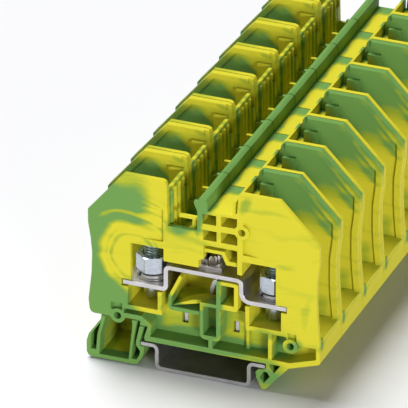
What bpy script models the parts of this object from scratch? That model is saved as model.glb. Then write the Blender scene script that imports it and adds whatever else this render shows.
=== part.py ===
"""Row of eight two-stud earth terminal modules on a 35 mm top-hat DIN rail.

World frame: +X to the right along a module, +Y along the rail, +Z up.
The origin is on the rail's underside, at its middle.
Outlines are (x, z) points in millimetres, with z counted from the top of the rail's flanges.
A third number on an outline point is its corner radius.
Depths are in millimetres behind a module's front face.
"""
import math

import bmesh
import bpy
from mathutils import Matrix, Vector

MM = 0.001

# Driving dimensions, in millimetres
MODULES = 8
PITCH = 16.0             # one module's share of the rail
DEPTH = 15.7             # module thickness, which leaves a joint line between neighbours
FRONT_WALL = 1.3         # moulded wall in front of the wiring pockets
WEB_FRONT = 14.7         # front face of the partition at the back of a module
RIM_FRONT = 13.9         # front of the raised rim along a partition's outer edge
RAIL_HEIGHT = 7.5
RAIL_WIDTH = 35.0
RAIL_CHANNEL = 27.0
RAIL_SHEET = 1.0
SLOT_WIDTH = 6.2
SLOT_LENGTH = 18.0
SLOT_PITCH = 25.0
SLOTS = 4
GAP = 0.3                # clearance between touching pieces

BAR_SHEET = 1.25         # busbar and contact foot are bent from this sheet
BAR_FRONT = 0.4
BAR_BACK = 12.4
STUD_Y = 6.4             # studs and foot screw stand on the busbar's centre line
LEFT_STUD_X = -16.4
RIGHT_STUD_X = 18.0
LEFT_SEAT = 17.4         # top of the busbar's left arm
RIGHT_SEAT = 18.1        # top of its right arm
BAR_TOP = 24.0           # top of its raised middle
STUD_RADIUS = 2.5        # M5
STUD_FOOT = 11.6
STUD_TOP = 32.0
NUT_FLATS = 8.0
NUT_HEIGHT = 4.7
NUT_TURN = math.radians(17.5)
WASHER_RADIUS = 4.6
WASHER_HEIGHT = 1.2
SCREW_RADIUS = 1.5
SCREW_HEAD_RADIUS = 3.0
ROUND_STEPS = 12         # sides of studs, washers and their holes
RING_STEPS = 16


# Outlines ---------------------------------------------------------------------------------

def box(left, bottom, right, top):
    """Four corners of a rectangle."""
    return [(left, bottom), (right, bottom), (right, top), (left, top)]


def circle(x, z, radius, steps=RING_STEPS):
    """Points of a circle."""
    angles = [2 * math.pi * step / steps for step in range(steps)]
    return [(x + radius * math.cos(angle), z + radius * math.sin(angle)) for angle in angles]


def rounded(points, steps=2):
    """Replace each corner that has a radius by an arc."""
    outline = []
    for index, point in enumerate(points):
        if len(point) == 2:
            outline.append(point)
            continue
        corner = Vector(point[:2])
        before = (Vector(points[index - 1][:2]) - corner).normalized()
        after = (Vector(points[(index + 1) % len(points)][:2]) - corner).normalized()
        half_angle = before.angle(after) / 2
        centre = corner + (before + after).normalized() * point[2] / math.sin(half_angle)
        start = corner + before * point[2] / math.tan(half_angle) - centre
        end = corner + after * point[2] / math.tan(half_angle) - centre
        sweep = start.angle_signed(end)
        for step in range(steps + 1):
            spoke = start.copy()
            spoke.rotate(Matrix.Rotation(-sweep * step / steps, 2))
            outline.append(tuple(centre + spoke))
    return outline


# Solids -----------------------------------------------------------------------------------

def solid_from(mesh_data, name):
    """Turn a bmesh into an object with its faces pointing out."""
    bmesh.ops.recalc_face_normals(mesh_data, faces=mesh_data.faces)
    mesh = bpy.data.meshes.new(name)
    mesh_data.to_mesh(mesh)
    mesh_data.free()
    item = bpy.data.objects.new(name, mesh)
    bpy.context.scene.collection.objects.link(item)
    return item


def prism(outline, front, back, name="prism"):
    """Extrude an outline of the front view from one depth to another."""
    shape = bmesh.new()
    corners = [shape.verts.new((x * MM, front * MM, (z + RAIL_HEIGHT) * MM)) for x, z in outline]
    face = shape.faces.new(corners)
    pushed = bmesh.ops.extrude_face_region(shape, geom=[face])["geom"]
    moved = [item for item in pushed if isinstance(item, bmesh.types.BMVert)]
    bmesh.ops.translate(shape, vec=(0, (back - front) * MM, 0), verts=moved)
    return solid_from(shape, name)


def upright(outline, bottom, top, name="upright"):
    """Extrude an outline of the plan, (x, y) points, from one height to another."""
    shape = bmesh.new()
    corners = [shape.verts.new((x * MM, y * MM, (bottom + RAIL_HEIGHT) * MM)) for x, y in outline]
    face = shape.faces.new(corners)
    pushed = bmesh.ops.extrude_face_region(shape, geom=[face])["geom"]
    moved = [item for item in pushed if isinstance(item, bmesh.types.BMVert)]
    bmesh.ops.translate(shape, vec=(0, 0, (top - bottom) * MM), verts=moved)
    return solid_from(shape, name)


def turned(profile, x, y, name="turned", steps=ROUND_STEPS):
    """Turn a profile of (radius, z) points, bottom to top, about an upright axis."""
    shape = bmesh.new()
    rings = []
    for radius, z in profile:
        ring = [shape.verts.new(((x + px) * MM, (y + py) * MM, (z + RAIL_HEIGHT) * MM))
                for px, py in circle(0, 0, radius, steps)]
        rings.append(ring)
    shape.faces.new(rings[0])
    shape.faces.new(rings[-1])
    for lower, upper in zip(rings, rings[1:]):
        for index in range(steps):
            following = (index + 1) % steps
            shape.faces.new((lower[index], lower[following], upper[following], upper[index]))
    return solid_from(shape, name)


def combine(solid, others, operation):
    """Join a solid with each of the others, or cut them out of it, and drop them."""
    for other in others:
        step = solid.modifiers.new(operation.lower(), "BOOLEAN")
        step.operation = operation
        step.object = other
    evaluated = solid.evaluated_get(bpy.context.evaluated_depsgraph_get())
    mesh = bpy.data.meshes.new_from_object(evaluated)
    solid.modifiers.clear()
    solid.data = mesh
    for other in others:
        bpy.data.objects.remove(other)
    return solid


def cut(solid, others):
    return combine(solid, others, "DIFFERENCE")


def join(solid, others):
    return combine(solid, others, "UNION")


def material(name, colour, roughness, metallic):
    """A plain Principled material."""
    finish = bpy.data.materials.new(name)
    finish.use_nodes = True
    shader = finish.node_tree.nodes["Principled BSDF"]
    shader.inputs["Base Color"].default_value = (*colour, 1)
    shader.inputs["Roughness"].default_value = roughness
    shader.inputs["Metallic"].default_value = metallic
    return finish


# Rail -------------------------------------------------------------------------------------

def rail():
    """Top-hat rail with long holes in its base."""
    tip = RAIL_WIDTH / 2
    leg = RAIL_CHANNEL / 2
    outer = 1.8
    inner = outer - RAIL_SHEET
    half = [(tip, -RAIL_SHEET), (tip, 0), (leg - RAIL_SHEET, 0, outer),
            (leg - RAIL_SHEET, RAIL_SHEET - RAIL_HEIGHT, inner)]
    under = [(leg, -RAIL_HEIGHT, outer), (leg, -RAIL_SHEET, inner)]
    upper_left = [(-x, *rest) for x, *rest in reversed(half)]
    lower_left = [(-x, *rest) for x, *rest in reversed(under)]
    outline = rounded(half + upper_left + lower_left + under)
    body = prism(outline, 0, MODULES * PITCH, "din_rail")
    holes = []
    for index in range(SLOTS):
        middle = MODULES * PITCH / 2 + (index - (SLOTS - 1) / 2) * SLOT_PITCH
        reach = SLOT_LENGTH / 2
        side = SLOT_WIDTH / 2
        corners = [(-side, middle - reach, side - 0.01), (side, middle - reach, side - 0.01),
                   (side, middle + reach, side - 0.01), (-side, middle + reach, side - 0.01)]
        holes.append(upright(rounded(corners), -RAIL_HEIGHT - 1, -RAIL_HEIGHT + 3))
    return cut(body, holes)


# Housing ----------------------------------------------------------------------------------

BACK = 20.0              # a depth behind every module, for cuts that go right through
AHEAD = -1.0             # a depth in front of every module
LEFT_RING = (-24.1, 6.5)
RIGHT_RING = (24.6, 7.0)
TOP_RING = (10.9, 38.0)
CHANNEL_FLOOR = 31.0     # floor of the bridge channel between a module's front wall and partition
RING_RADIUS = 2.1
RING_HOLE = 1.05


def housing_outline():
    """Front view of a module without its latch foot, clockwise from the lower left."""
    left_wing = [(-28.8, 6.0), (-31.9, 6.0, 1.3), (-32.3, 10.0), (-31.4, 18.0), (-31.2, 24.0),
                 (-31.6, 28.5), (-32.3, 33.0), (-32.3, 36.8), (-22.0, 49.2), (-10.1, 49.2, 1.3)]
    bridge_channel = [(-9.8, 36.1), (-1.5, 36.1)]
    ridge = [(-1.5, 46.1, 1.25), (1.3, 46.1, 1.25)]
    marker_groove = [(1.3, 42.5), (8.4, 42.5), (8.4, 46.5), (9.1, 46.5), (9.1, 43.4)]
    right_wing = [(9.6, 43.4), (10.1, 49.5, 1.2), (21.6, 49.5), (32.6, 38.2), (32.6, 33.0),
                  (31.9, 27.0), (31.9, 20.0), (32.2, 15.0), (32.7, 9.5), (33.0, 3.2, 0.8),
                  (24.1, 0.3)]
    hook = [(20.4, -4.0), (17.7, -7.2), (16.6, -7.2), (15.1, -4.2),
            (14.9, -2.4), (15.8, -1.5), (17.3, -1.35), (17.8, -0.9), (17.8, 0.5)]
    underside = [(-16.4, 0.5), (-16.5, 1.6), (-15.6, 4.9)]
    foot_root = [(-17.8, 4.9), (-17.6, 6.1), (-18.5, 6.3), (-22.2, 6.3), (-26.0, 6.0)]
    return rounded(left_wing + bridge_channel + ridge + marker_groove + right_wing
                   + hook + underside + foot_root)


def wiring_pockets():
    """The two open-topped pockets that the cable lugs go into, and the windows into them."""
    left = [(-40, 10.5), (-22.9, 10.5), (-22.9, 15.8), (-11.0, 15.8), (-11.0, 60), (-40, 60)]
    right = [(11.0, 16.5), (23.4, 16.5), (23.4, 9.6), (40, 9.6), (40, 60), (11.0, 60)]
    inside_left_rim = [(-11.0, 15.8), (-22.9, 15.8), (-22.9, 10.5), (-30.7, 10.5), (-29.8, 18.0),
                       (-29.6, 24.0), (-30.0, 28.3), (-30.7, 32.9), (-30.7, 36.2),
                       (-21.3, 47.6), (-11.0, 47.6)]
    inside_right_rim = [(11.0, 16.5), (23.4, 16.5), (23.4, 9.6), (31.1, 9.6), (30.6, 15.0),
                        (30.3, 20.0), (30.3, 27.0), (31.0, 33.0), (31.0, 37.5),
                        (20.9, 47.9), (11.0, 47.9)]
    left_window = [(-23.0, 15.8), (-11.0, 15.8), (-11.0, 29.0), (-20.3, 29.0),
                   (-20.3, 18.0), (-23.0, 18.0)]
    right_window = [(11.0, 16.5), (23.6, 16.5), (23.6, 18.5), (20.5, 18.5),
                    (20.5, 29.5), (11.0, 29.5)]
    wall_step = box(-11.5, 46.0, -9.0, 60)
    wall_gap = box(-11.5, 41.0, -9.0, 60)
    right_ledge = box(9.35, 43.5, 11.5, 60)
    channel = box(-9.8, CHANNEL_FLOOR, -1.5, 60)
    return [prism(left, FRONT_WALL, RIM_FRONT),
            prism(right, FRONT_WALL, RIM_FRONT),
            prism(inside_left_rim, RIM_FRONT - 1, WEB_FRONT),
            prism(inside_right_rim, RIM_FRONT - 1, WEB_FRONT),
            prism(left_window, AHEAD, 2),
            prism(right_window, AHEAD, 2),
            prism(wall_step, FRONT_WALL, 12.5),
            prism(wall_gap, 12.4, WEB_FRONT),
            prism(right_ledge, FRONT_WALL, WEB_FRONT),
            prism(channel, FRONT_WALL, WEB_FRONT)]


def stud_boxes():
    """Hollows below the busbar's arms, which the studs' lower ends stand in."""
    return [prism(box(-21.2, 10.4, -12.7, 17), AHEAD, 12.0),
            prism(box(13.1, 10.9, 22.0, 17.4), AHEAD, 12.0)]


def lower_hollows():
    """The open front of the lower half, and the tunnel that the busbar lies in."""
    base = [(-22.4, 7.7), (-17.3, 7.7), (-14.7, 5.6), (-14.6, 4.2), (-14.9, 2.0),
            (24.4, 2.0), (31.8, 4.4), (31.8, 7.7), (26.9, 7.7), (26.3, 8.9),
            (23.8, 8.9), (23.3, 9.6), (12.1, 9.6), (11.9, 17.0), (-11.5, 17.0),
            (-11.6, 9.1), (-22.4, 9.1)]
    contact_slot = [(-15.9, 0), (16.6, 0), (16.6, 1.9), (8.5, 1.9), (8.5, 8.8), (6.7, 8.8),
                    (6.7, 1.9), (1.4, 1.9), (1.4, 16.2), (2.95, 19.4), (2.95, 23), (0.95, 23),
                    (0.95, 20.8), (-0.6, 17.2), (-0.6, 1.9),
                    (-5.9, 1.9), (-5.9, 8.8), (-7.7, 8.8), (-7.7, 1.9), (-15.9, 1.9)]
    flange_slot = box(-4.4, 20.8, 3.3, 23.5)
    return [prism(base, AHEAD, 4.8),
            busbar_tunnel(),
            prism(contact_slot, 5.2, 11.6),
            prism(flange_slot, 2.0, 12.0),
            prism(box(6.7, 5.4, 8.5, 8.8), AHEAD, 6),
            prism(box(-7.7, 5.4, -5.9, 8.8), AHEAD, 6)]


def upper_hollows():
    """Cells, screw chamber and shallow recesses in the face of the upper half."""
    cells = [box(-0.1, 38.7, 3.8, 41.6), box(5.1, 38.9, 9.6, 41.8),
             box(0.1, 34.0, 3.9, 36.9), box(5.1, 34.0, 9.7, 37.1)]
    arch = [(-1.2, 24.6), (-1.2, 27.6), (0.2, 28.2), (1.5, 29.9), (9.7, 29.9), (9.7, 24.6)]
    chamber = box(0.2, 27.2, 9.7, 32.4)
    screw_space = box(-3.6, 24.6, 6.0, 29.0)
    left_ramp = [(-17.0, AHEAD), (-17.0, 0), (-11.1, 0.95), (-11.1, AHEAD)]
    right_ramp = [(16.0, AHEAD), (16.0, 0), (13.0, 0.6), (11.2, 0.95), (11.2, AHEAD)]
    return ([prism(cell, AHEAD, 6) for cell in cells]
            + [prism(arch, AHEAD, 10), prism(chamber, AHEAD, 6), prism(screw_space, 2, 11),
               upright(left_ramp, 31.0, 40.6), upright(right_ramp, 31.5, 41.0),
               prism(box(-26.0, 8.2, -22.8, 10.4), AHEAD, 1.1),
               prism(box(23.8, 8.9, 26.3, 10.9), AHEAD, 1.1)])


def busbar_tunnel():
    """Space for the raised middle of the busbar."""
    return prism(box(-11.5, 12.0, 11.5, 25.4), AHEAD, 12.8)


def pocket_pads():
    """Raised pads on the partition, beside the pockets' inner walls."""
    return [prism(box(-14.7, 24.0, -10.9, 46.0), 13.1, 14.9),
            prism(box(10.9, 24.0, 14.4, 46.0), 13.1, 14.9)]


def channel_bars():
    """Bar across the front of the bridge channel and rib under the ridge's left edge."""
    ridge_rib = [(-1.3, 41.5), (-2.4, 44.0), (-2.4, 44.9), (-1.3, 44.9)]
    return [prism(box(-7.0, 38.8, -1.2, 39.6), 1.0, 2.0), prism(ridge_rib, 0, 1.0)]


def ribs():
    """Walls that stand in the hollows, all the way back to the web behind them."""
    baffle = [(-9.9, 15.0), (-9.9, 10.9, 0.9), (-0.6, 10.9), (-0.6, 12.0), (-9.1, 12.0),
              (-9.1, 14.7), (-6.0, 21.2), (-6.8, 21.6)]
    ledge = [(-9.3, 12.0), (-8.6, 12.0), (-0.6, 14.2), (-0.6, 15.2), (-3.5, 14.6)]
    lower_box = [(-0.8, 15.2), (-0.8, 4.3, 1.4), (5.0, 4.3, 1.4), (5.0, 15.2)]
    upper_box = [(3.8, 14.2), (9.9, 14.2, 0.8), (9.9, 22.4, 0.8), (3.8, 22.4)]
    chamber_lip = [(0.0, 30.0), (5.0, 30.0), (6.3, 27.2), (9.9, 27.2), (9.9, 28.4),
                   (7.0, 28.4), (5.8, 31.0), (0.0, 31.0)]
    channel_tab = [(-5.0, 30.5), (-2.4, 30.5), (-2.4, 39.0), (-3.4, 39.0), (-3.6, 36.4),
                   (-5.0, 35.2)]
    return [prism(rounded(baffle), 0.6, 13.0),
            prism(ledge, 1.5, 5),
            prism(rounded(lower_box), 0, 5),
            prism(rounded(upper_box), 0, 13.0),
            prism(box(1.6, 1.7, 2.7, 4.6), 0, 5),
            prism(box(18.4, 1.9, 19.4, 9.9), 0, 5),
            prism(box(11.0, 1.9, 11.8, 9.9), 3.4, 5),
            prism(chamber_lip, 0.8, 6.2),
            prism(channel_tab, 1.6, 2.6),
            prism(circle(*LEFT_RING, RING_RADIUS), 0, DEPTH),
            prism(circle(*RIGHT_RING, RING_RADIUS), 0, DEPTH),
            prism(circle(*TOP_RING, RING_RADIUS), 0, FRONT_WALL + 1)]


def rib_hollows():
    """Cuts made after the ribs are in: box insides, ring holes and the hook's openings."""
    diamond = [(17.2, -1.9), (18.2, -2.1), (18.9, -3.3), (17.2, -5.4), (16.0, -3.9)]
    triangle = [(18.8, 0.6), (21.9, 0.6), (20.0, -2.0), (18.8, -0.2)]
    return [prism(box(0.1, 5.6, 3.8, 14.2), AHEAD, 4.8),
            prism(box(5.0, 15.7, 8.8, 21.4), AHEAD, 12.0),
            prism(diamond, AHEAD, BACK),
            prism(triangle, AHEAD, 12.0),
            prism(circle(*LEFT_RING, RING_HOLE, ROUND_STEPS), AHEAD, 8),
            prism(circle(*RIGHT_RING, RING_HOLE, ROUND_STEPS), AHEAD, 8),
            prism(circle(*TOP_RING, RING_HOLE, ROUND_STEPS), AHEAD, 8)]


def foot_outline():
    """Front view of the sprung latch foot, whose two long slots leave three springy arms."""
    outside = [(-28.8, 5.7), (-28.9, 4.5), (-32.4, -0.6, 2.0), (-33.0, -2.8),
               (-33.0, -7.3, 1.4), (-18.6, -7.3, 1.0), (-16.9, -4.0), (-16.5, -1.7),
               (-16.9, -1.3), (-17.8, -1.3), (-17.8, 0.2), (-16.6, 4.6)]
    narrow_slot = [(-17.9, 4.6), (-18.9, 0.0), (-19.0, -1.3), (-17.8, -3.0), (-18.0, -4.2),
                   (-18.8, -5.7), (-20.3, -5.7), (-19.9, -2.0), (-19.3, 2.0),
                   (-18.6, 6.0)]
    wide_slot = [(-20.1, 6.0), (-20.0, 4.0), (-21.1, -6.1), (-29.4, -6.1),
                 (-29.0, 0.0), (-27.9, 4.0), (-27.6, 5.7)]
    return rounded(outside + narrow_slot + wide_slot)


def latch_foot(name):
    """Latch foot that catches the rail's left flange."""
    toe = [(-29.0, 3.4), (-31.6, -0.4), (-31.8, -4.9), (-30.3, -4.9), (-29.9, 0.0)]
    web = [(-29.6, -6.3), (-20.9, -6.3), (-20.2, -1.0), (-29.2, -1.0)]
    foot = prism(foot_outline(), 0, DEPTH, name)
    join(foot, [prism(web, WEB_FRONT, DEPTH)])
    return cut(foot, [prism(toe, AHEAD, 12)])


def housing(name):
    """Moulded body of one module without its latch foot."""
    body = prism(housing_outline(), 0, DEPTH, name)
    cut(body, wiring_pockets() + stud_boxes() + lower_hollows() + upper_hollows())
    join(body, pocket_pads() + channel_bars() + ribs())
    return cut(body, rib_hollows())


def covered_housing(name):
    """Body of a module whose front another module covers, plain where it is never seen."""
    body = prism(housing_outline(), 0, DEPTH, name)
    cut(body, wiring_pockets() + stud_boxes() + [busbar_tunnel()])
    return join(body, pocket_pads() + channel_bars()
                + [prism(circle(*LEFT_RING, RING_RADIUS, 8), 0, DEPTH)])


def with_foot(body):
    """Join a body to its latch foot, as it is moulded."""
    necks = [box(-28.8, 5.5, -27.6, 6.2), box(-20.1, 5.8, -18.6, 6.5), box(-17.8, 4.4, -16.6, 5.1)]
    return join(body, [latch_foot("foot")] + [prism(neck, 0, DEPTH) for neck in necks])


# Metal parts ------------------------------------------------------------------------------

def stud_hole(x, seat, radius):
    """Cutter for a hole through a strip that lies below a given height."""
    return turned([(radius, seat - 3), (radius, seat + 1)], x, STUD_Y)


def busbar(name):
    """Bent strip that carries both studs and is raised in the middle."""
    outline = [(-22.7, LEFT_SEAT - BAR_SHEET), (-9.95, LEFT_SEAT - BAR_SHEET, 1.7),
               (-9.95, BAR_TOP - BAR_SHEET, 0.5), (9.95, BAR_TOP - BAR_SHEET, 0.5),
               (9.95, RIGHT_SEAT - BAR_SHEET, 3.1), (23.3, RIGHT_SEAT - BAR_SHEET),
               (23.3, RIGHT_SEAT), (11.2, RIGHT_SEAT, 1.9), (11.2, BAR_TOP, 1.7),
               (-11.2, BAR_TOP, 1.7), (-11.2, LEFT_SEAT, 0.5), (-22.7, LEFT_SEAT)]
    bar = prism(rounded(outline), BAR_FRONT, BAR_BACK, name)
    return cut(bar, [stud_hole(LEFT_STUD_X, LEFT_SEAT, STUD_RADIUS + GAP),
                     stud_hole(RIGHT_STUD_X, RIGHT_SEAT, STUD_RADIUS + GAP),
                     stud_hole(0, BAR_TOP, SCREW_RADIUS + GAP)])


def contact_foot(name):
    """Inner strip that takes the earth connection from the busbar down to the rail."""
    flange = BAR_TOP - BAR_SHEET - GAP
    outline = [(-15.6, 0.3), (16.3, 0.3), (16.3, 1.55), (8.2, 1.55), (8.2, 8.5), (7.0, 8.5),
               (7.0, 1.55), (1.0, 1.55), (1.0, 16.2), (1.6, 18.0), (2.5, 19.4), (2.65, 20.2),
               (2.65, flange), (-4.0, flange), (-4.0, flange - BAR_SHEET),
               (1.45, flange - BAR_SHEET), (1.3, 20.2), (0.5, 18.7), (-0.2, 16.6),
               (-0.2, 1.55), (-6.2, 1.55), (-6.2, 8.5), (-7.4, 8.5),
               (-7.4, 1.55), (-15.6, 1.55)]
    foot = prism(outline, 5.6, 11.2, name)
    return cut(foot, [stud_hole(0, flange, SCREW_RADIUS + GAP)])


def foot_screw(name):
    """Slotted screw that holds the contact foot under the busbar."""
    profile = [(SCREW_RADIUS, 20.6), (SCREW_RADIUS, 24.3), (SCREW_HEAD_RADIUS, 24.3),
               (SCREW_HEAD_RADIUS, 26.7), (SCREW_HEAD_RADIUS - 0.5, 27.2)]
    screw = turned(profile, 0, STUD_Y, name)
    slot = prism(box(-0.4, 26.2, 0.4, 28), 0, DEPTH)
    return cut(screw, [slot])


def stud(x, name):
    """M5 stud that stands through the busbar."""
    profile = [(STUD_RADIUS, STUD_FOOT), (STUD_RADIUS, STUD_TOP - 0.6),
               (STUD_RADIUS - 0.6, STUD_TOP)]
    return turned(profile, x, STUD_Y, name)


def washer(x, seat, name):
    """Spring washer between busbar and nut."""
    bottom = seat + GAP
    disc = turned([(WASHER_RADIUS, bottom), (WASHER_RADIUS, bottom + WASHER_HEIGHT)],
                  x, STUD_Y, name)
    return cut(disc, [turned([(STUD_RADIUS + GAP, bottom - 1), (STUD_RADIUS + GAP, bottom + 3)],
                             x, STUD_Y)])


def nut(x, seat, name):
    """Hexagon nut."""
    bottom = seat + WASHER_HEIGHT + 2 * GAP
    top = bottom + NUT_HEIGHT
    corner_radius = NUT_FLATS / 2 / math.cos(math.pi / 6)
    angles = [NUT_TURN + side * math.pi / 3 for side in range(6)]
    corners = [(x + corner_radius * math.cos(angle), STUD_Y + corner_radius * math.sin(angle))
               for angle in angles]
    hole = turned([(STUD_RADIUS + GAP, bottom - 1), (STUD_RADIUS + GAP, top + 1)], x, STUD_Y)
    return cut(upright(corners, bottom, top, name), [hole])


# Assembly ---------------------------------------------------------------------------------

def finish(item, surface, smooth):
    """Give a piece its material and shading."""
    item.data.materials.clear()
    item.data.materials.append(surface)
    if smooth:
        item.data.shade_smooth()
        item.data.set_sharp_from_angle(angle=math.radians(30))
    return item


def set_origin(item, x, y, z):
    """Move a piece's origin to a point given in millimetres, in the front module's frame."""
    origin = Vector((x, y, z + RAIL_HEIGHT)) * MM
    item.data.transform(Matrix.Translation(-origin))
    item.location = origin
    return item


def place(item, module):
    """Move a piece of the front module to its place along the row."""
    item.location.y += (module - MODULES / 2) * PITCH * MM
    return item


def copy_of(item, name):
    """Another object on the same mesh."""
    twin = bpy.data.objects.new(name, item.data)
    twin.location = item.location
    bpy.context.scene.collection.objects.link(twin)
    return twin


def build():
    for item in list(bpy.data.objects):
        bpy.data.objects.remove(item)

    plastic = material("yellow_green_plastic", (0.72, 0.70, 0.05), 0.45, 0.0)
    tinned = material("tinned_copper", (0.70, 0.69, 0.72), 0.35, 1.0)
    zinc = material("zinc_plated_steel", (0.62, 0.66, 0.72), 0.3, 1.0)
    thread = material("dark_plated_steel", (0.18, 0.22, 0.24), 0.45, 1.0)
    steel = material("galvanised_steel", (0.50, 0.50, 0.52), 0.4, 1.0)

    place(finish(rail(), steel, True), 0)

    studs = {"left": (LEFT_STUD_X, LEFT_SEAT), "right": (RIGHT_STUD_X, RIGHT_SEAT)}
    front = [finish(busbar("front_busbar"), tinned, True)]
    for side, (x, seat) in studs.items():
        front.append(finish(stud(x, f"front_{side}_stud"), thread, True))
        turning = finish(nut(x, seat, f"front_{side}_nut"), zinc, False)
        front.append(set_origin(turning, x, STUD_Y, seat))

    repeated = list(front)
    front.append(finish(housing("front_housing"), plastic, False))
    front.append(finish(latch_foot("front_latch_foot"), plastic, False))
    front.append(finish(contact_foot("front_contact_foot"), tinned, False))
    front.append(finish(foot_screw("front_foot_screw"), zinc, True))
    for side, (x, seat) in studs.items():
        lifting = finish(washer(x, seat, f"front_{side}_washer"), zinc, True)
        front.append(set_origin(lifting, x, STUD_Y, seat))

    second = finish(with_foot(housing("housing_2")), plastic, False)
    third = finish(with_foot(covered_housing("housing_3")), plastic, False)
    for module in range(1, MODULES):
        number = module + 1
        if number > 3:
            place(copy_of(third, f"housing_{number}"), module)
        for item in repeated:
            twin = copy_of(item, item.name.replace("front_", "") + f"_{number}")
            place(twin, module)
    place(second, 1)
    place(third, 2)
    for item in front:
        place(item, 0)


build()
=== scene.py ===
"""Looks of the row of earth terminal modules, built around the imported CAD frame.

+X runs to the right along a module, +Y along the rail, away from the front module, and +Z up.
Lengths are in millimetres where a name or comment says so, and heights given in millimetres are
counted from the top of the rail's flanges. MM turns them into metres.
"""

import math

import bmesh
import bpy
from mathutils import Matrix, Vector


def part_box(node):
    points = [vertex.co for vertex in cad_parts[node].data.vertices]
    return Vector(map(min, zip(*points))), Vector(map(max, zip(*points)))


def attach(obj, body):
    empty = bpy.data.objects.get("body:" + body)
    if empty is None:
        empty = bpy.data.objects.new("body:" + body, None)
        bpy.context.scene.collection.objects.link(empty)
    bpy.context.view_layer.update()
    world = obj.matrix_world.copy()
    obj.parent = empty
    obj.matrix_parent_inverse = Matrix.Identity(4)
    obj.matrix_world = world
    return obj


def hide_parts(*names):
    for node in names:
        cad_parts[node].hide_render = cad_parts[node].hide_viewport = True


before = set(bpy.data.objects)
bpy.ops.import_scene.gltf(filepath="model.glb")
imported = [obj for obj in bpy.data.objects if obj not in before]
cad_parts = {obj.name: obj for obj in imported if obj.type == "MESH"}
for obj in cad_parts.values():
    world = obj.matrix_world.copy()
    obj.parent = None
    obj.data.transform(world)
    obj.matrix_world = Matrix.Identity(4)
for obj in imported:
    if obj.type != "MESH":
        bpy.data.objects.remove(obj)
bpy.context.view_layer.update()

MM = 0.001
MODULES = 8
RAIL_BOTTOM, RAIL_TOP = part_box("din_rail")
FLANGE = RAIL_TOP.z / MM                 # height of the rail's flanges over its underside
ROW_START = RAIL_BOTTOM.y / MM
ROW_LENGTH = (RAIL_TOP.y - RAIL_BOTTOM.y) / MM
PITCH = ROW_LENGTH / MODULES
SIDES = ("left", "right")
ROUND = 48                               # sides of a turned piece


# Names of nodes and bodies ----------------------------------------------------------------

def node_name(kind, module):
    """Name of a module's node: the front module's nodes start with front_, the others end in a number."""
    return f"front_{kind}" if module == 1 else f"{kind}_{module}"


def fixed_body(module):
    """Body that a module's busbar, studs and housing belong to."""
    return "front_module" if module == 1 else "rail_row"


def middle(node):
    """X and Y of a node's middle, in millimetres."""
    low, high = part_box(node)
    return (low.x + high.x) / 2 / MM, (low.y + high.y) / 2 / MM


def height_range(node):
    """Lowest and highest point of a node, in millimetres over the flanges."""
    low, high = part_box(node)
    return low.z / MM - FLANGE, high.z / MM - FLANGE


# Mesh helpers -----------------------------------------------------------------------------

def piece(name, shape, smooth_angle=35):
    """Object from a bmesh, shaded smooth except at sharp edges."""
    bmesh.ops.recalc_face_normals(shape, faces=shape.faces)
    mesh = bpy.data.meshes.new(name)
    shape.to_mesh(mesh)
    shape.free()
    mesh.shade_smooth()
    mesh.set_sharp_from_angle(angle=math.radians(smooth_angle))
    item = bpy.data.objects.new(name, mesh)
    bpy.context.scene.collection.objects.link(item)
    return item


def twin(item, name, shift):
    """Another object on the same mesh, moved along the row by a shift in millimetres."""
    other = bpy.data.objects.new(name, item.data)
    other.location = item.location + Vector((0, shift * MM, 0))
    bpy.context.scene.collection.objects.link(other)
    return other


def arc_corners(points, steps):
    """Outline whose corners with a third number, their radius, become arcs."""
    outline = []
    for index, point in enumerate(points):
        if len(point) == 2:
            outline.append(point)
            continue
        corner = Vector(point[:2])
        before = (Vector(points[index - 1][:2]) - corner).normalized()
        after = (Vector(points[(index + 1) % len(points)][:2]) - corner).normalized()
        half_angle = before.angle(after) / 2
        centre = corner + (before + after).normalized() * point[2] / math.sin(half_angle)
        start = corner + before * point[2] / math.tan(half_angle) - centre
        end = corner + after * point[2] / math.tan(half_angle) - centre
        sweep = start.angle_signed(end)
        for step in range(steps + 1):
            spoke = start.copy()
            spoke.rotate(Matrix.Rotation(-sweep * step / steps, 2))
            outline.append(tuple(centre + spoke))
    return outline


def prism(outline, front, back):
    """Bmesh of an (x, height) outline extruded from one Y to another, in millimetres."""
    shape = bmesh.new()
    corners = [shape.verts.new((x * MM, front * MM, (z + FLANGE) * MM)) for x, z in outline]
    face = shape.faces.new(corners)
    pushed = bmesh.ops.extrude_face_region(shape, geom=[face])["geom"]
    moved = [item for item in pushed if isinstance(item, bmesh.types.BMVert)]
    bmesh.ops.translate(shape, vec=(0, (back - front) * MM, 0), verts=moved)
    return shape


def upright(outline, bottom, top):
    """Bmesh of an (x, y) outline extruded from one height to another, in millimetres."""
    shape = bmesh.new()
    corners = [shape.verts.new((x * MM, y * MM, (bottom + FLANGE) * MM)) for x, y in outline]
    face = shape.faces.new(corners)
    pushed = bmesh.ops.extrude_face_region(shape, geom=[face])["geom"]
    moved = [item for item in pushed if isinstance(item, bmesh.types.BMVert)]
    bmesh.ops.translate(shape, vec=(0, 0, (top - bottom) * MM), verts=moved)
    return shape


def rings(shape, loops, closed):
    """Join rings of points, each with the same count, into a skin."""
    made = [[shape.verts.new(point) for point in loop] for loop in loops]
    pairs = list(zip(made, made[1:]))
    if closed:
        pairs.append((made[-1], made[0]))
    for lower, upper in pairs:
        for index in range(len(lower)):
            following = (index + 1) % len(lower)
            shape.faces.new((lower[index], lower[following], upper[following], upper[index]))
    return made


def ring(x, y, radius, z):
    """Points of a level circle, radius and place in millimetres."""
    angles = [2 * math.pi * step / ROUND for step in range(ROUND)]
    return [((x + radius * math.cos(angle)) * MM, (y + radius * math.sin(angle)) * MM,
             (z + FLANGE) * MM) for angle in angles]


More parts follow.
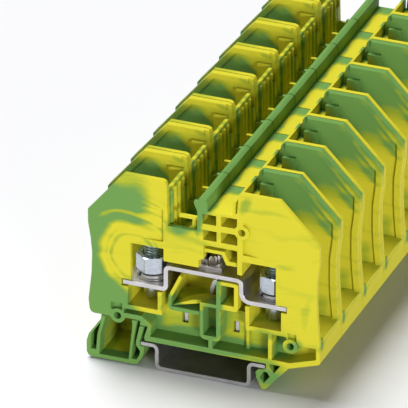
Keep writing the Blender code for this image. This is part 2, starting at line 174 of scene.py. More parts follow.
def carved(item, cutters):
    """Cut pieces out of an item and drop them."""
    for cutter in cutters:
        step = item.modifiers.new("cut", "BOOLEAN")
        step.operation = "DIFFERENCE"
        step.object = cutter
    bpy.context.view_layer.update()
    evaluated = item.evaluated_get(bpy.context.evaluated_depsgraph_get())
    mesh = bpy.data.meshes.new_from_object(evaluated)
    item.modifiers.clear()
    item.data = mesh
    for cutter in cutters:
        bpy.data.objects.remove(cutter)


def soften(item, width):
    """Round an item's sharp edges by a width in millimetres."""
    rounding = item.modifiers.new("edge_radius", "BEVEL")
    rounding.width = width * MM
    rounding.segments = 2
    rounding.limit_method = "ANGLE"
    rounding.angle_limit = math.radians(30)
    rounding.use_clamp_overlap = True
    shading = item.modifiers.new("face_shading", "WEIGHTED_NORMAL")
    shading.keep_sharp = False


# Shader helpers ---------------------------------------------------------------------------

def add(tree, kind, settings=None, **inputs):
    """Add a node. An input is a value or a socket to link, named with _ for a space or as i and a number."""
    made = tree.nodes.new(kind)
    for name, value in (settings or {}).items():
        setattr(made, name, value)
    for name, value in inputs.items():
        key = int(name[1:]) if name[0] == "i" and name[1:].isdigit() else name.replace("_", " ")
        socket = made.inputs[key]
        if isinstance(value, bpy.types.NodeSocket):
            tree.links.new(value, socket)
        else:
            socket.default_value = value
    return made


def maths(tree, operation, first, second=0.0):
    """One step of arithmetic on numbers."""
    return add(tree, "ShaderNodeMath", {"operation": operation}, i0=first, i1=second).outputs[0]


def vector_maths(tree, operation, first, second):
    """One step of arithmetic on vectors."""
    return add(tree, "ShaderNodeVectorMath", {"operation": operation}, i0=first, i1=second).outputs[0]


def scaled(tree, vector, factor):
    """A vector times a number."""
    return add(tree, "ShaderNodeVectorMath", {"operation": "SCALE"}, i0=vector, Scale=factor).outputs[0]


def remap(tree, value, low, high, to_low, to_high, smooth=True):
    """Value taken from one range to another, and held at the ends."""
    kind = "SMOOTHSTEP" if smooth else "LINEAR"
    return add(tree, "ShaderNodeMapRange", {"interpolation_type": kind}, i0=value,
               i1=low, i2=high, i3=to_low, i4=to_high).outputs[0]


def noise(tree, vector, scale, detail=2.0, roughness=0.5, distortion=0.0):
    """Cloudy noise texture."""
    return add(tree, "ShaderNodeTexNoise", None, Vector=vector, Scale=scale, Detail=detail,
               Roughness=roughness, Distortion=distortion)


def ramp(tree, value, stops):
    """Colour from a value, by stops of position and colour."""
    made = add(tree, "ShaderNodeValToRGB", None, Fac=value)
    elements = made.color_ramp.elements
    while len(elements) < len(stops):
        elements.new(1.0)
    for element, (position, colour) in zip(elements, stops):
        element.position = position
        element.color = (*colour, 1)
    return made.outputs["Color"]


def new_material(name, **values):
    """Principled material. Values are set on the shader's own sockets."""
    made = bpy.data.materials.new(name)
    made.use_nodes = True
    tree = made.node_tree
    shader = tree.nodes["Principled BSDF"]
    for key, value in values.items():
        shader.inputs[key.replace("_", " ")].default_value = value
    made.diffuse_color = (0.6, 0.6, 0.6, 1)
    return made, tree, shader


def bump(tree, shader, height, depth, strength=1.0):
    """Surface relief of a depth in millimetres."""
    relief = add(tree, "ShaderNodeBump", None, Height=height, Strength=strength, Distance=depth * MM)
    tree.links.new(relief.outputs["Normal"], shader.inputs["Normal"])


# Plastic ----------------------------------------------------------------------------------

YELLOW = (0.61, 0.56, 0.034)
YELLOW_GREEN = (0.33, 0.40, 0.032)
GREEN = (0.145, 0.298, 0.074)

# Where the green masterbatch flows in a module, and where green is painted in as shade, in
# millimetres: x, depth behind the module's front face, height, the patch's three radii, its tilt in
# the front view in degrees, and how much green it adds. A negative amount keeps the place yellow.
GREEN_FLOWS_AND_PAINTED_SHADE = [
    # lower end of the left wing
    (-28.5, 0.5, 10.0, 7.5, 5.0, 8.0, 14, 1.0),
    (-18.2, 2.5, 10.8, 5.4, 3.5, 2.6, 0, -1.4),
    # right wing of the front plate
    (28.8, 0.5, 16.5, 1.6, 2.0, 5.0, 10, 0.30),
    (11.8, 0.5, 46.0, 1.5, 2.0, 3.0, 30, 0.45),
    (22.0, 0.5, 29.5, 5.0, 2.0, 1.2, -25, 0.22),
    # left partition
    (-19.0, 15.0, 24.0, 5.0, 2.0, 9.0, 0, 0.9),
    (-12.8, 15.0, 48.0, 2.0, 2.0, 0.7, 18, 0.35),
    (-22.3, 14.5, 38.4, 7.6, 3.0, 6.8, 4, 1.8),
    (-17.5, 14.5, 43.6, 3.0, 3.0, 0.7, 38, 0.30),
    (-32.2, 15.2, 36.0, 2.2, 2.4, 5.0, 0, 0.9),
    (-29.5, 15.2, 41.0, 1.6, 2.4, 7.0, 40, 0.30),
    # right partition
    (18.5, 15.2, 47.0, 19.0, 2.6, 8.2, 26, 1.15),
    (12.5, 15.2, 39.0, 7.0, 2.6, 9.0, 0, 0.7),
    (17.0, 15.2, 43.6, 3.4, 2.0, 1.0, -6, -0.42),
    (26.0, 15.2, 40.2, 4.2, 2.0, 0.8, 40, -0.40),
    (28.0, 13.9, 41.8, 6.5, 1.2, 0.9, 46, -0.50),
    (28.5, 15.2, 36.2, 4.0, 2.0, 1.2, 40, 0.5),
    (27.0, 15.0, 12.5, 2.2, 2.0, 3.0, 0, 0.34),
    # ridge, groove and channel
    (-0.2, 8.0, 44.6, 2.7, 40.0, 4.2, 0, 1.6),
    (5.0, 14.2, 42.5, 5.2, 3.4, 2.0, 0, 1.1),
    (-7.4, 0.3, 35.6, 3.4, 1.6, 1.7, 6, 0.9),
    (-4.0, 0.3, 36.3, 5.0, 1.4, 0.8, 0, 0.8),
    (-5.5, 15.0, 33.0, 6.0, 1.6, 4.0, 0, 1.2),
    (-0.9, 0.5, 40.0, 1.0, 2.6, 5.0, 0, 1.0),
    # lower half: bottom wall, baffle, boxes and the web behind them; the weak deep patches are painted shade
    (-7.0, 4.0, 1.6, 15.0, 8.0, 2.8, 0, 1.1),
    (10.0, 3.0, 1.3, 11.0, 6.0, 2.0, 0, 0.8),
    (-15.6, 4.0, 6.6, 3.0, 3.0, 2.6, 0, 0.8),
    # painted shade: weak green darkening the web deep behind the lower front
    (4.5, 5.0, 6.5, 22.0, 2.0, 6.5, 0, 0.42),
    (-5.5, 1.5, 11.3, 6.5, 4.5, 1.6, 0, 1.0),
    # painted shade: weak green darkening the baffle's hollow
    (-6.0, 9.0, 15.0, 5.0, 5.0, 6.0, 20, 0.42),
    (-9.6, 1.5, 13.5, 1.1, 3.5, 3.6, -10, 0.9),
    (2.1, 1.0, 9.3, 4.4, 5.0, 7.0, 0, 1.2),
    (4.3, 1.5, 18.5, 1.3, 4.5, 6.0, 0, 1.0),
    # painted shade: weak green darkening the insides of the two stud boxes
    (-16.9, 9.0, 13.0, 6.0, 5.0, 4.0, 0, 0.40),
    (17.5, 9.0, 13.0, 6.0, 5.0, 4.0, 0, 0.30),
    (18.5, 1.0, 9.3, 6.0, 3.5, 1.2, 0, 0.55),
    (25.8, 0.5, 6.0, 2.4, 3.0, 3.0, 0, 0.7),
    (21.0, 3.5, 4.4, 5.6, 3.0, 3.2, 0, 0.85),
    # latch foot and fixed hook
    # The foot's amount is kept low so it reads lighter yellow-green: partly its own green, partly painted
    # light on its front rims.
    (-25.5, 3.0, 0.5, 13.0, 14.0, 8.6, 0, 0.58),
    (-24.6, 7.0, -5.2, 3.2, 9.0, 1.6, 0, -0.8),
    (-17.6, 1.0, 3.0, 1.4, 2.0, 2.4, 0, -0.6),
    (18.5, 6.0, -3.5, 6.0, 12.0, 4.5, 0, 1.1),
    # closed outer walls
    (32.6, 2.2, 8.8, 1.6, 1.3, 2.6, 0, 0.8),
    (-31.0, 10.0, 20.0, 3.0, 3.0, 12.0, 0, 0.8),
]


def patches(tree, point, flows_and_shade):
    """Sum of soft ellipsoids."""
    total = None
    for x, depth, z, radius_x, radius_y, radius_z, tilt, amount in flows_and_shade:
        local = add(tree, "ShaderNodeMapping", {"vector_type": "TEXTURE"}, Vector=point,
                    Location=(x, depth, z), Rotation=(0, math.radians(tilt), 0),
                    Scale=(radius_x, radius_y, radius_z)).outputs[0]
        reach = add(tree, "ShaderNodeVectorMath", {"operation": "LENGTH"}, i0=local).outputs["Value"]
        share = remap(tree, reach, 1.45, 0.35, 0.0, amount)
        total = share if total is None else maths(tree, "ADD", total, share)
    return total


def parts_of(tree, vector):
    """X, depth and height of a vector."""
    split = add(tree, "ShaderNodeSeparateXYZ", None, Vector=vector)
    return split.outputs["X"], split.outputs["Y"], split.outputs["Z"]


def curl(tree, point, x, z, squeeze):
    """Distance from a point of the front view. A squeeze under 1 stretches the lower half."""
    across, _, height = parts_of(tree, vector_maths(tree, "SUBTRACT", point, (x, 0.0, z)))
    below = maths(tree, "MULTIPLY", maths(tree, "MINIMUM", height, 0.0), squeeze)
    upright = maths(tree, "ADD", maths(tree, "MAXIMUM", height, 0.0), below)
    flat = add(tree, "ShaderNodeCombineXYZ", None, X=across, Z=upright).outputs[0]
    return add(tree, "ShaderNodeVectorMath", {"operation": "LENGTH"}, i0=flat).outputs["Value"]


def band(tree, reach, radius, half_width, amount):
    """Soft ring round a curl's centre."""
    off = maths(tree, "ABSOLUTE", maths(tree, "SUBTRACT", reach, radius))
    return remap(tree, off, half_width, half_width * 0.2, 0.0, amount)


def product(tree, *factors):
    """All factors multiplied."""
    total = factors[0]
    for factor in factors[1:]:
        total = maths(tree, "MULTIPLY", total, factor)
    return total


def total_of(tree, *terms):
    """All terms added."""
    total = terms[0]
    for term in terms[1:]:
        total = maths(tree, "ADD", total, term)
    return total


def left_wing_flow(tree, bent):
    """Flow that curls round the left window: a green rim, two lobes and thin lines inside them."""
    x, depth, z = parts_of(tree, bent)
    plate = remap(tree, depth, 4.0, 2.4, 0.0, 1.0)
    reach = curl(tree, bent, -19.8, 26.0, 0.72)
    left = remap(tree, x, -12.5, -19.5, 0.0, 1.0)
    rim = remap(tree, reach, 8.0, 10.6, 0.0, 1.1)
    upper = remap(tree, z, 47.6, 43.0, 0.38, 1.0)
    part_line = product(tree, band(tree, reach, 12.3, 1.0, 0.75), remap(tree, z, 33.0, 37.0, 0.0, 1.0))
    green = maths(tree, "SUBTRACT", product(tree, rim, left, upper), product(tree, part_line, left))
    lines = total_of(tree, band(tree, reach, 6.0, 0.75, 0.34), band(tree, reach, 7.4, 0.5, 0.16),
                     band(tree, reach, 11.3, 0.6, 0.22), band(tree, reach, 13.6, 0.6, 0.28),
                     band(tree, reach, 15.0, 0.5, 0.30), band(tree, reach, 16.6, 0.5, 0.20))
    near = product(tree, remap(tree, x, -9.0, -12.0, 0.0, 1.0), remap(tree, z, 12.0, 17.0, 0.0, 1.0))
    return product(tree, plate, maths(tree, "ADD", green, product(tree, lines, near)))


def wall_stripes(tree, point):
    """Upright stripes on the walls beside the bridge channel."""
    x, depth, z = parts_of(tree, point)
    wall = product(tree, band(tree, x, -9.7, 2.2, 1.0), remap(tree, z, 30.0, 34.0, 0.0, 1.0))
    wavy = maths(tree, "ADD", depth, noise(tree, point, 0.12).outputs["Fac"])
    stripes = total_of(tree, band(tree, wavy, 3.0, 1.6, 0.70), band(tree, wavy, 6.9, 1.5, 0.40),
                       band(tree, wavy, 10.2, 1.5, 0.45), band(tree, wavy, 13.6, 1.3, 0.70))
    return product(tree, wall, stripes)


def marbled_plastic():
    """Polyamide with yellow and green run together, the same in every module, with green also painted in as
    shade in the lower hollows.
    """
    made, tree, shader = new_material("marbled_polyamide", Roughness=0.42, Specular_IOR_Level=0.05)
    place = add(tree, "ShaderNodeTexCoord").outputs["Object"]
    x, row_y, row_z = parts_of(tree, scaled(tree, place, 1 / MM))
    depth = maths(tree, "MODULO", maths(tree, "SUBTRACT", row_y, ROW_START), PITCH)
    height = maths(tree, "SUBTRACT", row_z, FLANGE)
    point = add(tree, "ShaderNodeCombineXYZ", None, X=x, Y=depth, Z=height).outputs[0]

    bend = noise(tree, point, 0.10, 1.5).outputs["Color"]
    bent = vector_maths(tree, "ADD", point,
                        scaled(tree, vector_maths(tree, "SUBTRACT", bend, (0.5, 0.5, 0.5)), 4.0))
    along = add(tree, "ShaderNodeMapping", None, Vector=bent, Rotation=(0, math.radians(-14), 0),
                Scale=(0.05, 0.06, 0.30)).outputs[0]
    streaks = noise(tree, along, 1.0, 2.0, 0.45, 0.3).outputs["Fac"]
    # the green amount includes the patches of painted shade in the lower hollows
    green = total_of(tree, patches(tree, bent, GREEN_FLOWS_AND_PAINTED_SHADE), left_wing_flow(tree, bent),
                     wall_stripes(tree, point),
                     remap(tree, streaks, 0.3, 0.75, -0.20, 0.36, False))
    colour = ramp(tree, green, [(0.10, YELLOW), (0.48, YELLOW_GREEN), (0.92, GREEN)])
    tree.links.new(colour, shader.inputs["Base Color"])
    grain = noise(tree, scaled(tree, place, 1 / MM), 1.4, 3.0).outputs["Fac"]
    tree.links.new(remap(tree, grain, 0.3, 0.7, 0.36, 0.48, False), shader.inputs["Roughness"])
    bump(tree, shader, grain, 0.02, 0.35)
    return made


# Metals -----------------------------------------------------------------------------------

def sheet_metal(name, colour, roughness):
    """Rolled strip with fine streaks along the row and slight clouding."""
    made, tree, shader = new_material(name, Metallic=1.0)
    place = scaled(tree, add(tree, "ShaderNodeTexCoord").outputs["Object"], 1 / MM)
    drawn = add(tree, "ShaderNodeMapping", None, Vector=place, Scale=(1.0, 0.12, 1.0)).outputs[0]
    lines = noise(tree, drawn, 4.0, 3.0).outputs["Fac"]
    cloud = noise(tree, place, 0.35, 3.0).outputs["Fac"]
    dark = tuple(channel * 0.82 for channel in colour)
    tree.links.new(ramp(tree, cloud, [(0.3, dark), (0.7, colour)]), shader.inputs["Base Color"])
    tree.links.new(remap(tree, lines, 0.3, 0.7, roughness - 0.06, roughness + 0.08, False),
                   shader.inputs["Roughness"])
    bump(tree, shader, lines, 0.01, 0.3)
    return made


def plated_steel(name, colour, roughness):
    """Zinc-plated turned part: crystalline clouding and faint tool marks."""
    made, tree, shader = new_material(name, Metallic=1.0)
    place = scaled(tree, add(tree, "ShaderNodeTexCoord").outputs["Object"], 1 / MM)
    cloud = noise(tree, place, 0.8, 4.0, 0.6).outputs["Fac"]
    level = add(tree, "ShaderNodeMapping", None, Vector=place, Scale=(1, 1, 8)).outputs[0]
    marks = noise(tree, level, 1.5, 2.0).outputs["Fac"]
    dark = tuple(channel * 0.85 for channel in colour)
    tree.links.new(ramp(tree, cloud, [(0.35, dark), (0.65, colour)]), shader.inputs["Base Color"])
    tree.links.new(remap(tree, marks, 0.3, 0.7, roughness - 0.05, roughness + 0.08, False),
                   shader.inputs["Roughness"])
    bump(tree, shader, marks, 0.008, 0.3)
    return made


plastic = marbled_plastic()
tinned = sheet_metal("tinned_copper", (0.68, 0.66, 0.67), 0.36)
galvanised = sheet_metal("galvanised_steel", (0.58, 0.57, 0.575), 0.40)
zinc = plated_steel("blue_zinc_plate", (0.54, 0.59, 0.66), 0.26)
washer_zinc = plated_steel("matt_zinc_plate", (0.50, 0.50, 0.49), 0.44)
# The thread's dark teal colour is painted shade and a painted reflection of the green plastic round it.
painted_shade_thread_steel = plated_steel("passivated_thread", (0.26, 0.32, 0.31), 0.32)
screw_steel = plated_steel("yellowed_screw", (0.36, 0.34, 0.30), 0.40)


def dress(item, surface):
    """Give an item its material."""
    item.data.materials.clear()
    item.data.materials.append(surface)
    return item


# Housings ---------------------------------------------------------------------------------

def round_housing(item):
    """Clean up the facets of a CAD housing and round its moulded edges."""
    weld = item.modifiers.new("weld", "WELD")
    weld.merge_threshold = 0.002 * MM
    flats = item.modifiers.new("flats", "DECIMATE")
    flats.decimate_type = "DISSOLVE"
    flats.angle_limit = math.radians(0.5)
    soften(item, 0.16)


def housings():
    names = ["front_housing", "front_latch_foot"] + [f"housing_{k}" for k in range(2, MODULES + 1)]
    for name in names:
        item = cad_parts[name]
        round_housing(item)
        dress(item, plastic)


RIB_DEPTHS = (3.0, 5.6, 8.2, 10.8)       # places of the ribs, behind the module's front face
RIB_HALF_WIDTH = 0.6
RIB_BACK, RIB_MIDDLE, RIB_RISE = -10.0, -9.85, 0.5
RIB_BOTTOM, RIB_SHOULDER, RIB_TOP = 31.0, 44.9, 45.3     # the rib slopes back to the wall at its top
RIB_TIP = -9.95


def channel_ribs():
    """Upright half-round ribs on the left wall of the bridge channel."""
    shape = bmesh.new()
    for depth in RIB_DEPTHS:
        y = ROW_START + depth
        arc = [math.radians(15 * step) for step in range(-6, 7)]
        outline = [(RIB_BACK, y - RIB_HALF_WIDTH)]
        outline += [(RIB_MIDDLE + RIB_RISE * math.cos(angle), y + RIB_HALF_WIDTH * math.sin(angle))
                    for angle in arc]
        outline += [(RIB_BACK, y + RIB_HALF_WIDTH)]
        made = rings(shape, [[(px * MM, py * MM, (z + FLANGE) * MM) for px, py in outline]
                             for z in (RIB_BOTTOM, RIB_SHOULDER, RIB_TOP)], False)
        for vert in made[-1]:
            vert.co.x = RIB_TIP * MM
    first = piece("channel_ribs_1", shape)
    dress(first, plastic)
    for module in range(1, MODULES + 1):
        item = first if module == 1 else twin(first, f"channel_ribs_{module}", (module - 1) * PITCH)
        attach(item, fixed_body(module))


# Rail -------------------------------------------------------------------------------------

SLOTS = 4
SLOT_PITCH = 25.0
SLOT_HALF_WIDTH, SLOT_HALF_LENGTH = 3.1, 9
RAIL_SHEET = 1.0
BEND_RADIUS = 1.8                        # outside of the rail's bends
FLANGE_WIDTH = 4.0                       # from the tip to the leg's outer face


def rail():
    """Top-hat rail with smooth bends and long holes."""
    low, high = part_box("din_rail")
    tip = high.x / MM
    leg = tip - FLANGE_WIDTH
    inner_leg = leg - RAIL_SHEET
    inner_bend = BEND_RADIUS - RAIL_SHEET
    half = [(tip, -RAIL_SHEET), (tip, 0), (inner_leg, 0, BEND_RADIUS),
            (inner_leg, RAIL_SHEET - FLANGE, inner_bend)]
    under = [(leg, -FLANGE, BEND_RADIUS), (leg, -RAIL_SHEET, inner_bend)]
    upper_left = [(-x, *rest) for x, *rest in reversed(half)]
    lower_left = [(-x, *rest) for x, *rest in reversed(under)]
    outline = arc_corners(half + upper_left + lower_left + under, 8)
    body = piece("rail_sheet", prism(outline, low.y / MM, high.y / MM))
    holes = []
    for index in range(SLOTS):
        along = (low.y + high.y) / 2 / MM + (index - (SLOTS - 1) / 2) * SLOT_PITCH
        start, end = along - SLOT_HALF_LENGTH, along + SLOT_HALF_LENGTH
        corner_radius = SLOT_HALF_WIDTH - 0.01
        corners = [(-SLOT_HALF_WIDTH, start, corner_radius), (SLOT_HALF_WIDTH, start, corner_radius),
                   (SLOT_HALF_WIDTH, end, corner_radius), (-SLOT_HALF_WIDTH, end, corner_radius)]
        holes.append(piece("slot_cutter", upright(arc_corners(corners, 10), -FLANGE - 1, -FLANGE + 3)))
    carved(body, holes)
    soften(body, 0.12)
    dress(body, galvanised)
    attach(body, "rail_row")
    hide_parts("din_rail")


# Busbars and contact foot -----------------------------------------------------------------

SHEET = 1.25


def busbars():
    """Bent strips that carry the studs."""
    low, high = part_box("front_busbar")
    left_seat, right_seat, top = 17.4, 18.1, high.z / MM - FLANGE
    left, right = low.x / MM, high.x / MM
    outline = arc_corners([
        (left, left_seat - SHEET), (-9.95, left_seat - SHEET, 1.7), (-9.95, top - SHEET, 0.5),
        (9.95, top - SHEET, 0.5), (9.95, right_seat - SHEET, 3.1), (right, right_seat - SHEET),
        (right, right_seat), (11.2, right_seat, 1.9), (11.2, top, 1.7), (-11.2, top, 1.7),
        (-11.2, left_seat, 0.5), (left, left_seat)], 8)
    first = piece("busbar_strip_1", prism(outline, low.y / MM, high.y / MM))
    soften(first, 0.1)
    dress(first, tinned)
    for module in range(1, MODULES + 1):
        item = first if module == 1 else twin(first, f"busbar_strip_{module}", (module - 1) * PITCH)
        if item is not first:
            soften(item, 0.1)
        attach(item, fixed_body(module))
        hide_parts(node_name("busbar", module))
    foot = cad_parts["front_contact_foot"]
    round_housing(foot)
    dress(foot, tinned)


# Studs, nuts, washers and screw -----------------------------------------------------------

NUT_TURNS = {"left": 21.5, "right": 45.5}    # how the nuts happen to be tightened, in degrees
THREAD_PITCH = 0.8
THREAD_DEPTH = 0.45
THREAD_RADIUS = 2.5
STUD_FOOT_RADIUS = 2.62
NUT_FLATS = 8.0
NUT_BORE = 2.56
WASHER_BORE = 2.65
FLAT_WASHER_RADIUS = 4.55
SPRING_WASHER_RADIUS = 4.45
WASHER_LIFT = 0.3                        # gap under the CAD washers, which the shown ones close


def threaded_rod(name, x, y, radius, bottom, top):
    """Rod with a real helical thread and chamfered ends."""
    shape = bmesh.new()
    chamfer = 0.6
    steps = 28                           # columns of points in one turn
    profile = [(0.0, THREAD_DEPTH), (0.38, 0.0), (0.52, 0.0), (0.90, THREAD_DEPTH)]
    turns = int((top - bottom) / THREAD_PITCH) + 3
    columns = []
    for step in range(turns * steps + 1):
        angle = 2 * math.pi * step / steps
        lead = bottom - 1.5 * THREAD_PITCH + THREAD_PITCH * step / steps
        column = []
        for share, cut in profile:
            z = min(max(lead + share * THREAD_PITCH, bottom), top)
            end_radius = radius - chamfer + min(top - z, z - bottom, chamfer)
            reach = min(radius - cut, end_radius)
            column.append(shape.verts.new(((x + reach * math.cos(angle)) * MM,
                                           (y + reach * math.sin(angle)) * MM, (z + FLANGE) * MM)))
        columns.append(column)
    for index in range(len(columns) - 1):
        here, there = columns[index], columns[index + 1]
        for k in range(len(profile) - 1):
            shape.faces.new((here[k], there[k], there[k + 1], here[k + 1]))
        if index + steps + 1 < len(columns):
            above, beyond = columns[index + steps], columns[index + steps + 1]
            shape.faces.new((here[-1], there[-1], beyond[0], above[0]))
    bmesh.ops.remove_doubles(shape, verts=shape.verts, dist=0.002 * MM)
    bmesh.ops.dissolve_degenerate(shape, edges=shape.edges, dist=0.001 * MM)
    loose = [edge for edge in shape.edges if len(edge.link_faces) == 0]
    bmesh.ops.delete(shape, geom=loose, context="EDGES")
    bmesh.ops.holes_fill(shape, edges=shape.edges)
    return piece(name, shape, 50)


def nut_shape(name, x, y, bottom, top, flats, turn, bore):
    """Hexagon nut with conical chamfers on both faces and a countersunk bore."""
    shape = bmesh.new()
    cone = flats / 2 * 1.01              # radius at which the chamfers start
    slope = math.tan(math.radians(30))
    sink = 0.35
    steps = 72

    def loop(radius_at, z_at):
        """Points round the nut, by the hexagon's reach in each direction."""
        points = []
        for step in range(steps):
            angle = turn + 2 * math.pi * step / steps
            across = (angle - turn) % (math.pi / 3) - math.pi / 6
            hexagon = min(flats / 2 / math.cos(across), flats / 2 / math.cos(math.pi / 6) - 0.06)
            radius = min(radius_at(hexagon), hexagon)
            points.append(((x + radius * math.cos(angle)) * MM, (y + radius * math.sin(angle)) * MM,
                           (z_at(hexagon) + FLANGE) * MM))
        return points

    loops = [loop(lambda h: bore + sink, lambda h: bottom),
             loop(lambda h: bore, lambda h: bottom + sink),
             loop(lambda h: bore, lambda h: top - sink),
             loop(lambda h: bore + sink, lambda h: top),
             loop(lambda h: cone, lambda h: top),
             loop(lambda h: h, lambda h: top - 0.02 - max(h - cone, 0) * slope),
             loop(lambda h: h, lambda h: bottom + 0.02 + max(h - cone, 0) * slope),
             loop(lambda h: cone, lambda h: bottom)]
    rings(shape, loops, True)
    return piece(name, shape, 20)


def turned_tube(x, y, radius, bottom, top):
    """Bmesh of a plain cylinder."""
    shape = bmesh.new()
    made = rings(shape, [ring(x, y, radius, bottom), ring(x, y, radius, top)], False)
    shape.faces.new(made[0])
    shape.faces.new(made[-1])
    return shape


def shank(name, x, y, bottom, top, radius):
    """Plain pressed-in foot of a stud, rounded at both ends."""
    shape = bmesh.new()
    rounding = 0.3
    profile = [(radius - rounding, bottom), (radius - rounding / 3, bottom + rounding / 3),
               (radius, bottom + rounding), (radius, top - rounding / 2), (radius - rounding / 2, top)]
    made = rings(shape, [ring(x, y, r, z) for r, z in profile], False)
    shape.faces.new(made[0])
    shape.faces.new(made[-1])
    return piece(name, shape)


def flat_ring(name, x, y, bottom, top, inner, outer):
    """Flat washer with rounded rims."""
    shape = bmesh.new()
    rounding = 0.12
    section = [(inner, bottom), (inner, top), (outer - rounding, top), (outer, top - rounding),
               (outer, bottom + rounding), (outer - rounding, bottom)]
    rings(shape, [ring(x, y, radius, z) for radius, z in section], True)
    return piece(name, shape)


def spring_ring(name, x, y, bottom, top, inner, outer):
    """Split spring washer: a square wire that rises a little over one turn."""
    shape = bmesh.new()
    steps, gap, rise = 44, math.radians(9), 0.25
    wire = top - bottom - rise
    sections = []
    for step in range(steps + 1):
        share = step / steps
        angle = math.radians(-125) + gap + (2 * math.pi - 2 * gap) * share
        base = bottom + rise * share
        corners = [(inner, base), (inner, base + wire), (outer - 0.1, base + wire),
                   (outer, base + wire - 0.12), (outer, base + 0.12), (outer - 0.1, base)]
        sections.append([((x + radius * math.cos(angle)) * MM, (y + radius * math.sin(angle)) * MM,
                          (z + FLANGE) * MM) for radius, z in corners])
    made = rings(shape, sections, False)
    shape.faces.new(made[0])
    shape.faces.new(made[-1])
    return piece(name, shape)


def fasteners():
    """Studs, washers and nuts of every module."""
    for side in SIDES:
        x, y = middle(f"front_{side}_stud")
        foot, tip = height_range(f"front_{side}_stud")
        seat = height_range(f"front_{side}_washer")[0] - WASHER_LIFT
        shank_top = seat - SHEET - 0.1
        nut_bottom, nut_top = height_range(f"front_{side}_nut")
        first = {
            "stud": dress(threaded_rod(f"{side}_thread_1", x, y, THREAD_RADIUS, shank_top - 0.5, tip),
                          painted_shade_thread_steel),
            "foot": dress(shank(f"{side}_stud_foot_1", x, y, foot, shank_top, STUD_FOOT_RADIUS), zinc),
            "flat": dress(flat_ring(f"{side}_flat_washer_1", x, y, seat + 0.03, seat + 0.55,
                                    WASHER_BORE, FLAT_WASHER_RADIUS), washer_zinc),
            "spring": dress(spring_ring(f"{side}_spring_washer_1", x, y, seat + 0.56, nut_bottom - 0.01,
                                        WASHER_BORE, SPRING_WASHER_RADIUS),
                            washer_zinc),
            "nut": dress(nut_shape(f"{side}_hex_nut_1", x, y, nut_bottom, nut_top, NUT_FLATS,
                                   math.radians(NUT_TURNS[side]), NUT_BORE), zinc),
        }
        for module in range(1, MODULES + 1):
            shift = (module - 1) * PITCH
            for kind, item in first.items():
                shown = item
                if module > 1:
                    shown = twin(item, item.name[:-1] + str(module), shift)
                if kind == "nut":
                    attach(shown, node_name(f"{side}_nut", module))
                    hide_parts(node_name(f"{side}_nut", module))
                elif kind in ("stud", "foot"):
                    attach(shown, fixed_body(module))
                    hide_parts(node_name(f"{side}_stud", module))
                else:
                    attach(shown, f"front_{side}_washer" if module == 1 else "rail_row")
                    if module == 1:
                        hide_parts(f"front_{side}_washer")


def foot_screw():
    """Slotted cheese-head screw over the contact foot."""
    x, y = middle("front_foot_screw")
    bottom, top = height_range("front_foot_screw")
    head = 24.65                         # underside of the head
    shape = bmesh.new()
    profile = [(1.5, bottom), (1.5, head), (2.9, head), (3.0, head + 0.15), (3.0, top - 0.55),
               (2.88, top - 0.25), (2.6, top - 0.05), (2.3, top)]
    flutes, steps = 18, 144
    loops = []
    for radius, z in profile:
        depth = 0.16 if radius > 2.8 else 0.0
        loop = []
        for step in range(steps):
            angle = 2 * math.pi * step / steps
            reach = radius - depth * (1 - math.cos(flutes * angle))
            loop.append(((x + reach * math.cos(angle)) * MM, (y + reach * math.sin(angle)) * MM,
                         (z + FLANGE) * MM))
        loops.append(loop)
    made = rings(shape, loops, False)
    shape.faces.new(made[0])
    shape.faces.new(made[-1])
    screw = piece("foot_screw_head", shape)
    slot = piece("slot_cutter", prism([(-0.45, top - 1.1), (0.45, top - 1.1), (0.45, top + 1),
                                       (-0.45, top + 1)], y - 5, y + 5))
    carved(screw, [slot])
    screw.data.shade_smooth()
    screw.data.set_sharp_from_angle(angle=math.radians(35))
    dress(screw, screw_steel)
    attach(screw, "front_module")
    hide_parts("front_foot_screw")
    outline = [(-2.5, 25.8), (-1.9, 24.05), (4.3, 24.05), (4.3, 24.6), (-1.4, 24.6), (-1.8, 25.9)]
    clamp = piece("screw_clamp_plate", prism(outline, y - 3.6, y + 3.6))
    carved(clamp, [piece("bore_cutter", turned_tube(x, y, 1.6, 23.0, 27.0))])
    soften(clamp, 0.08)
    dress(clamp, tinned)
    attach(clamp, "front_module")


# Stage ------------------------------------------------------------------------------------

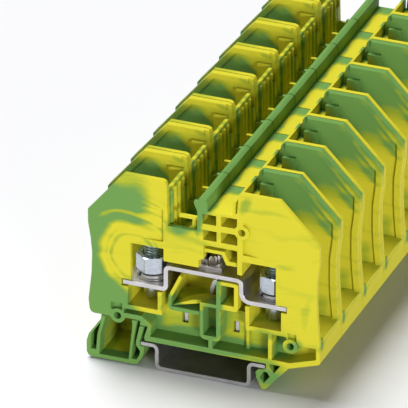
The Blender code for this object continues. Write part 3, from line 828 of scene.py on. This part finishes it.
def floor():
    """Plain pale floor under the rail."""
    reach = 6.0
    shape = bmesh.new()
    corners = [(-reach, -reach), (reach, -reach), (reach, reach), (-reach, reach)]
    shape.faces.new([shape.verts.new((x, y, -0.0002)) for x, y in corners])
    made, tree, shader = new_material("pale_floor", Roughness=0.9)
    place = add(tree, "ShaderNodeTexCoord").outputs["Object"]
    tone = noise(tree, place, 3.0, 2.0).outputs["Fac"]
    tree.links.new(ramp(tree, tone, [(0.0, (0.75, 0.75, 0.77)), (1.0, (0.76, 0.76, 0.78))]),
                   shader.inputs["Base Color"])
    shader.inputs["Specular IOR Level"].default_value = 0.1
    plane = piece("floor", shape)
    plane.data.materials.append(made)


def sun(name, direction, strength, spread):
    """Soft light from a direction, the same over the whole scene."""
    lamp = bpy.data.lights.new(name, "SUN")
    lamp.energy = strength
    lamp.angle = math.radians(spread)
    item = bpy.data.objects.new(name, lamp)
    item.rotation_euler = Vector(direction).to_track_quat("Z", "Y").to_euler()
    bpy.context.scene.collection.objects.link(item)


def lights():
    """High soft key light from the left, with low fills from the front left and the front right."""
    world = bpy.data.worlds.new("studio")
    world.use_nodes = True
    sky = world.node_tree.nodes["Background"]
    sky.inputs["Color"].default_value = (1.0, 1.0, 1.0, 1)
    sky.inputs["Strength"].default_value = 0.10
    bpy.context.scene.world = world
    sun("key_light", (-0.38, 0.24, 1.0), 3.85, 38)
    sun("front_fill", (-0.45, -1.0, 0.25), 0.75, 50)
    sun("right_fill", (0.88, -1.0, 0.10), 2.55, 16)
    bpy.context.scene.view_settings.view_transform = "Standard"


def camera():
    """View from the front right, a little above, with a long lens."""
    azimuth, elevation, distance = math.radians(21.524), math.radians(28.048), 2.2149
    target = Vector((0.38, ROW_START, 44.54 + FLANGE)) * MM
    away = Vector((math.sin(azimuth) * math.cos(elevation), -math.cos(azimuth) * math.cos(elevation),
                   math.sin(elevation)))
    lens = bpy.data.cameras.new("camera")
    lens.lens = 751.0
    lens.sensor_width = 36.0
    lens.clip_end = 100.0
    item = bpy.data.objects.new("camera", lens)
    item.location = target + away * distance
    item.rotation_euler = away.to_track_quat("Z", "Y").to_euler()
    bpy.context.scene.collection.objects.link(item)
    bpy.context.scene.camera = item


housings()
channel_ribs()
rail()
busbars()
fasteners()
foot_screw()
floor()
lights()
camera()
